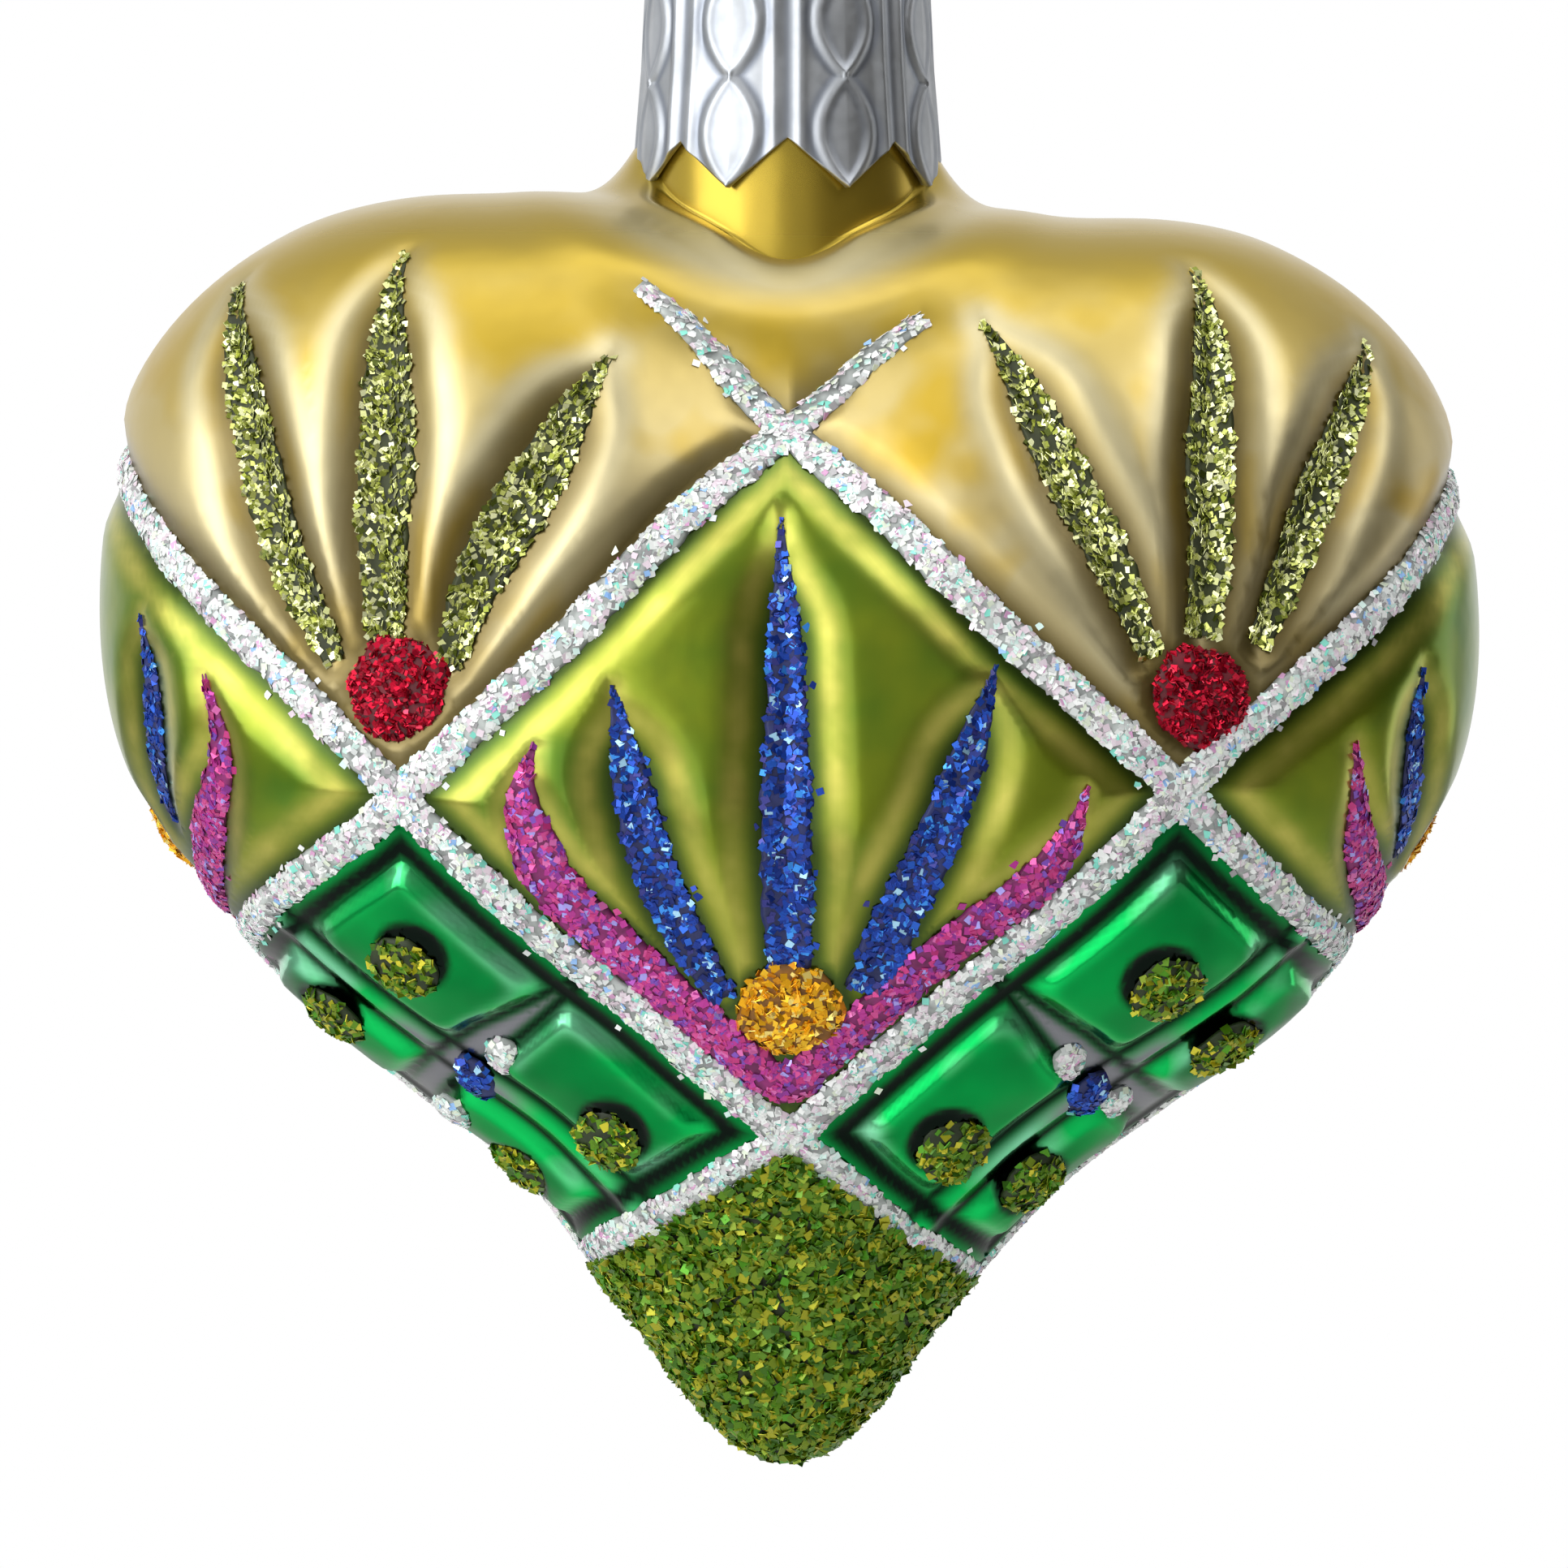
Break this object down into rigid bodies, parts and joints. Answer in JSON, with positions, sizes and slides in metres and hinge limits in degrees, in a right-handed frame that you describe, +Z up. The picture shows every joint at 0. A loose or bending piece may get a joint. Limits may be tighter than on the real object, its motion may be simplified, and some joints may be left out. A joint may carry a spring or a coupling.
{
  "type": "glass heart ornament",
  "caption": "Hollow blown-glass heart to hang up, with a stamped sleeve cap, a wire hanger with spring legs, and glitter laid on in a diamond lattice, rays and dots.",
  "frame": {"origin": "centre of the hanger loop", "axes": "+Z up along the neck, front of the heart towards -Y, +X to the right seen from the front"},
  "size_m": [0.077, 0.0432, 0.0996],
  "materials": {
    "lacquered_glass": "blown glass silvered inside, satin gold, lime and emerald lacquer outside",
    "cap_sheet": "stamped bright sheet",
    "wire": "bright drawn wire",
    "white_glitter": "white iridescent glitter in glue",
    "gold_green_glitter": "gold-green glitter in glue",
    "red_glitter": "red glitter in glue",
    "blue_glitter": "blue glitter in glue",
    "pink_glitter": "magenta glitter in glue",
    "gold_glitter": "orange-gold glitter in glue",
    "olive_glitter": "coarse olive glitter in glue"
  },
  "bodies": {
    "hanger": {"hanger": "wire"},
    "cap": {"cap": "cap_sheet"},
    "heart": {"glass_heart": "lacquered_glass", "tip_coat": "olive_glitter", "front_lattice": "white_glitter", "front_left_ray_1": "gold_green_glitter", "front_left_ray_2": "gold_green_glitter", "front_left_ray_3": "gold_green_glitter", "front_right_ray_1": "gold_green_glitter", "front_right_ray_2": "gold_green_glitter", "front_right_ray_3": "gold_green_glitter", "front_left_red_dot": "red_glitter", "front_right_red_dot": "red_glitter", "front_blue_ray_left": "blue_glitter", "front_blue_ray_centre": "blue_glitter", "front_blue_ray_right": "blue_glitter", "front_pink_vee": "pink_glitter", "front_gold_dot": "gold_glitter", "front_left_window_dots": "olive_glitter", "front_right_window_dots": "olive_glitter", "front_left_flower": "blue_glitter", "front_right_flower": "blue_glitter", "front_left_petals": "white_glitter", "front_right_petals": "white_glitter", "back_lattice": "white_glitter", "back_left_ray_1": "gold_green_glitter", "back_left_ray_2": "gold_green_glitter", "back_left_ray_3": "gold_green_glitter", "back_right_ray_1": "gold_green_glitter", "back_right_ray_2": "gold_green_glitter", "back_right_ray_3": "gold_green_glitter", "back_left_red_dot": "red_glitter", "back_right_red_dot": "red_glitter", "back_blue_ray_left": "blue_glitter", "back_blue_ray_centre": "blue_glitter", "back_blue_ray_right": "blue_glitter", "back_pink_vee": "pink_glitter", "back_gold_dot": "gold_glitter", "back_left_window_dots": "olive_glitter", "back_right_window_dots": "olive_glitter", "back_left_flower": "blue_glitter", "back_right_flower": "blue_glitter", "back_left_petals": "white_glitter", "back_right_petals": "white_glitter", "left_pink_vee": "pink_glitter", "left_blue_ray_front": "blue_glitter", "left_blue_ray_seam": "blue_glitter", "left_blue_ray_back": "blue_glitter", "left_gold_dot": "gold_glitter", "right_pink_vee": "pink_glitter", "right_blue_ray_front": "blue_glitter", "right_blue_ray_seam": "blue_glitter", "right_blue_ray_back": "blue_glitter", "right_gold_dot": "gold_glitter"}
  },
  "joints": [
    {"name": "cap_lift", "type": "slide", "parent": "hanger", "child": "cap", "axis": [0, 0, 1], "range_m": [0, 0.003]},
    {"name": "heart_pull", "type": "slide", "parent": "hanger", "child": "heart", "axis": [0, 0, -1], "range_m": [0, 0.02]}
  ]
}
